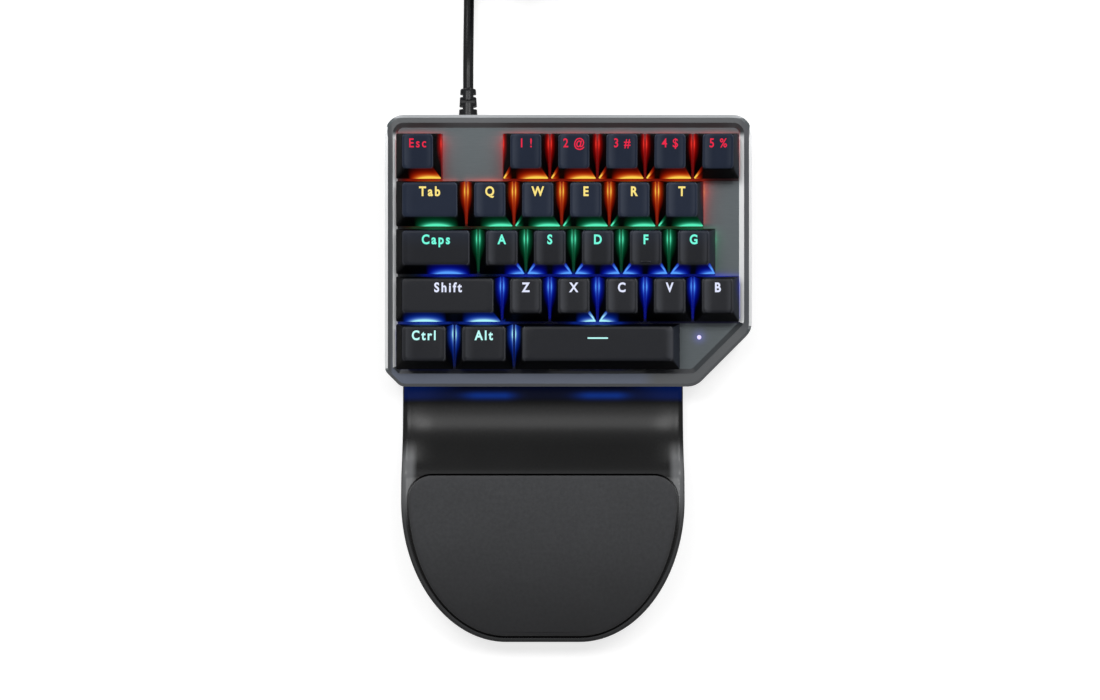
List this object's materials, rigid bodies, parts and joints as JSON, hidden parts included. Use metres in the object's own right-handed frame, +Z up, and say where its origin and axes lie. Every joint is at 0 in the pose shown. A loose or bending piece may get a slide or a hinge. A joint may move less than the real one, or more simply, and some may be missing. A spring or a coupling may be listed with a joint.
{
  "type": "gaming keypad",
  "caption": "One-handed gaming keypad: backlit mechanical keys in staggered rows on a recessed metal plate, a padded palm rest in front, and a USB cable from the rear.",
  "frame": {"origin": "on the table, at the middle of the footprint of the housing and rest (the free cable left out)", "axes": "+X to the right for a hand on the rest, +Y from the rest towards the cable at the rear, +Z up"},
  "size_m": [0.1474, 0.3294, 0.0402],
  "materials": {
    "satin_black": "satin moulded plastic",
    "gunmetal": "brushed, anodised gunmetal grey, polished edge",
    "key_plastic": "fine matt",
    "circuit_board": "solder mask",
    "pad_cloth": "fine mottled grey cover over foam",
    "rubber": "matt black",
    "bright_steel": "plated steel",
    "chip_plastic": "moulded package",
    "ivory_plastic": "moulded connector",
    "light_pipe": "clear, lit white"
  },
  "bodies": {
    "housing": {"bottom_case": "satin_black", "top_cover": "gunmetal", "circuit_board": "circuit_board", "controller_chip": "chip_plastic", "cable_connector": "ivory_plastic", "status_light": "light_pipe", "case_screw_1": "bright_steel", "case_screw_2": "bright_steel", "case_screw_3": "bright_steel", "case_screw_4": "bright_steel", "case_screw_5": "bright_steel", "rubber_pad_rear_left": "rubber", "rubber_pad_rear_right": "rubber", "rubber_pad_front_left": "rubber", "rubber_pad_front_right": "rubber", "rubber_pad_rest_left": "rubber", "rubber_pad_rest_right": "rubber", "palm_rest": "satin_black", "palm_rest_base": "satin_black", "palm_pad": "pad_cloth", "rest_screw_1": "bright_steel", "rest_screw_2": "bright_steel", "rest_screw_3": "bright_steel", "rest_screw_4": "bright_steel", "strain_relief": "rubber", "cable_lead": "rubber", "cable_coil": "rubber", "cable_tie": "rubber", "usb_plug_body": "rubber", "usb_plug_shell": "bright_steel"},
    "key_esc": {"key_esc": "key_plastic"},
    "key_1": {"key_1": "key_plastic"},
    "key_2": {"key_2": "key_plastic"},
    "key_3": {"key_3": "key_plastic"},
    "key_4": {"key_4": "key_plastic"},
    "key_5": {"key_5": "key_plastic"},
    "key_tab": {"key_tab": "key_plastic"},
    "key_q": {"key_q": "key_plastic"},
    "key_w": {"key_w": "key_plastic"},
    "key_e": {"key_e": "key_plastic"},
    "key_r": {"key_r": "key_plastic"},
    "key_t": {"key_t": "key_plastic"},
    "key_caps": {"key_caps": "key_plastic"},
    "key_a": {"key_a": "key_plastic"},
    "key_s": {"key_s": "key_plastic"},
    "key_d": {"key_d": "key_plastic"},
    "key_f": {"key_f": "key_plastic"},
    "key_g": {"key_g": "key_plastic"},
    "key_shift": {"key_shift": "key_plastic"},
    "key_z": {"key_z": "key_plastic"},
    "key_x": {"key_x": "key_plastic"},
    "key_c": {"key_c": "key_plastic"},
    "key_v": {"key_v": "key_plastic"},
    "key_b": {"key_b": "key_plastic"},
    "key_ctrl": {"key_ctrl": "key_plastic"},
    "key_alt": {"key_alt": "key_plastic"},
    "key_space": {"key_space": "key_plastic"},
    "space_key_wire": {"space_key_wire": "bright_steel"},
    "tilt_foot_left": {"tilt_foot_left": "satin_black"},
    "tilt_foot_right": {"tilt_foot_right": "satin_black"}
  },
  "joints": [
    {"name": "key_esc_press", "type": "slide", "parent": "housing", "child": "key_esc", "axis": [0, 0.0698, -0.9976], "range_m": [0, 0.004], "stiffness_N_per_m": 75, "springref_m": -0.004},
    {"name": "key_1_press", "type": "slide", "parent": "housing", "child": "key_1", "axis": [0, 0.0698, -0.9976], "range_m": [0, 0.004], "stiffness_N_per_m": 75, "springref_m": -0.004},
    {"name": "key_2_press", "type": "slide", "parent": "housing", "child": "key_2", "axis": [0, 0.0698, -0.9976], "range_m": [0, 0.004], "stiffness_N_per_m": 75, "springref_m": -0.004},
    {"name": "key_3_press", "type": "slide", "parent": "housing", "child": "key_3", "axis": [0, 0.0698, -0.9976], "range_m": [0, 0.004], "stiffness_N_per_m": 75, "springref_m": -0.004},
    {"name": "key_4_press", "type": "slide", "parent": "housing", "child": "key_4", "axis": [0, 0.0698, -0.9976], "range_m": [0, 0.004], "stiffness_N_per_m": 75, "springref_m": -0.004},
    {"name": "key_5_press", "type": "slide", "parent": "housing", "child": "key_5", "axis": [0, 0.0698, -0.9976], "range_m": [0, 0.004], "stiffness_N_per_m": 75, "springref_m": -0.004},
    {"name": "key_tab_press", "type": "slide", "parent": "housing", "child": "key_tab", "axis": [0, 0.0698, -0.9976], "range_m": [0, 0.004], "stiffness_N_per_m": 75, "springref_m": -0.004},
    {"name": "key_q_press", "type": "slide", "parent": "housing", "child": "key_q", "axis": [0, 0.0698, -0.9976], "range_m": [0, 0.004], "stiffness_N_per_m": 75, "springref_m": -0.004},
    {"name": "key_w_press", "type": "slide", "parent": "housing", "child": "key_w", "axis": [0, 0.0698, -0.9976], "range_m": [0, 0.004], "stiffness_N_per_m": 75, "springref_m": -0.004},
    {"name": "key_e_press", "type": "slide", "parent": "housing", "child": "key_e", "axis": [0, 0.0698, -0.9976], "range_m": [0, 0.004], "stiffness_N_per_m": 75, "springref_m": -0.004},
    {"name": "key_r_press", "type": "slide", "parent": "housing", "child": "key_r", "axis": [0, 0.0698, -0.9976], "range_m": [0, 0.004], "stiffness_N_per_m": 75, "springref_m": -0.004},
    {"name": "key_t_press", "type": "slide", "parent": "housing", "child": "key_t", "axis": [0, 0.0698, -0.9976], "range_m": [0, 0.004], "stiffness_N_per_m": 75, "springref_m": -0.004},
    {"name": "key_caps_press", "type": "slide", "parent": "housing", "child": "key_caps", "axis": [0, 0.0698, -0.9976], "range_m": [0, 0.004], "stiffness_N_per_m": 75, "springref_m": -0.004},
    {"name": "key_a_press", "type": "slide", "parent": "housing", "child": "key_a", "axis": [0, 0.0698, -0.9976], "range_m": [0, 0.004], "stiffness_N_per_m": 75, "springref_m": -0.004},
    {"name": "key_s_press", "type": "slide", "parent": "housing", "child": "key_s", "axis": [0, 0.0698, -0.9976], "range_m": [0, 0.004], "stiffness_N_per_m": 75, "springref_m": -0.004},
    {"name": "key_d_press", "type": "slide", "parent": "housing", "child": "key_d", "axis": [0, 0.0698, -0.9976], "range_m": [0, 0.004], "stiffness_N_per_m": 75, "springref_m": -0.004},
    {"name": "key_f_press", "type": "slide", "parent": "housing", "child": "key_f", "axis": [0, 0.0698, -0.9976], "range_m": [0, 0.004], "stiffness_N_per_m": 75, "springref_m": -0.004},
    {"name": "key_g_press", "type": "slide", "parent": "housing", "child": "key_g", "axis": [0, 0.0698, -0.9976], "range_m": [0, 0.004], "stiffness_N_per_m": 75, "springref_m": -0.004},
    {"name": "key_shift_press", "type": "slide", "parent": "housing", "child": "key_shift", "axis": [0, 0.0698, -0.9976], "range_m": [0, 0.004], "stiffness_N_per_m": 75, "springref_m": -0.004},
    {"name": "key_z_press", "type": "slide", "parent": "housing", "child": "key_z", "axis": [0, 0.0698, -0.9976], "range_m": [0, 0.004], "stiffness_N_per_m": 75, "springref_m": -0.004},
    {"name": "key_x_press", "type": "slide", "parent": "housing", "child": "key_x", "axis": [0, 0.0698, -0.9976], "range_m": [0, 0.004], "stiffness_N_per_m": 75, "springref_m": -0.004},
    {"name": "key_c_press", "type": "slide", "parent": "housing", "child": "key_c", "axis": [0, 0.0698, -0.9976], "range_m": [0, 0.004], "stiffness_N_per_m": 75, "springref_m": -0.004},
    {"name": "key_v_press", "type": "slide", "parent": "housing", "child": "key_v", "axis": [0, 0.0698, -0.9976], "range_m": [0, 0.004], "stiffness_N_per_m": 75, "springref_m": -0.004},
    {"name": "key_b_press", "type": "slide", "parent": "housing", "child": "key_b", "axis": [0, 0.0698, -0.9976], "range_m": [0, 0.004], "stiffness_N_per_m": 75, "springref_m": -0.004},
    {"name": "key_ctrl_press", "type": "slide", "parent": "housing", "child": "key_ctrl", "axis": [0, 0.0698, -0.9976], "range_m": [0, 0.004], "stiffness_N_per_m": 75, "springref_m": -0.004},
    {"name": "key_alt_press", "type": "slide", "parent": "housing", "child": "key_alt", "axis": [0, 0.0698, -0.9976], "range_m": [0, 0.004], "stiffness_N_per_m": 75, "springref_m": -0.004},
    {"name": "key_space_press", "type": "slide", "parent": "housing", "child": "key_space", "axis": [0, 0.0698, -0.9976], "range_m": [0, 0.004], "stiffness_N_per_m": 75, "springref_m": -0.004},
    {"name": "space_key_wire_turn", "type": "hinge", "parent": "housing", "child": "space_key_wire", "pos_m": [0.01156, 0.00389, 0.01688], "axis": [-1, 0, 0], "range_deg": [0, 25]},
    {"name": "tilt_foot_left_fold", "type": "hinge", "parent": "housing", "child": "tilt_foot_left", "pos_m": [-0.053, 0.09829, 0.0045], "axis": [1, 0, 0], "range_deg": [0, 90]},
    {"name": "tilt_foot_right_fold", "type": "hinge", "parent": "housing", "child": "tilt_foot_right", "pos_m": [0.053, 0.09829, 0.0045], "axis": [1, 0, 0], "range_deg": [0, 90]}
  ],
  "couplings": [
    {"joint": "space_key_wire_turn", "follows": "key_space_press", "rad_per_m": 106.47}
  ]
}
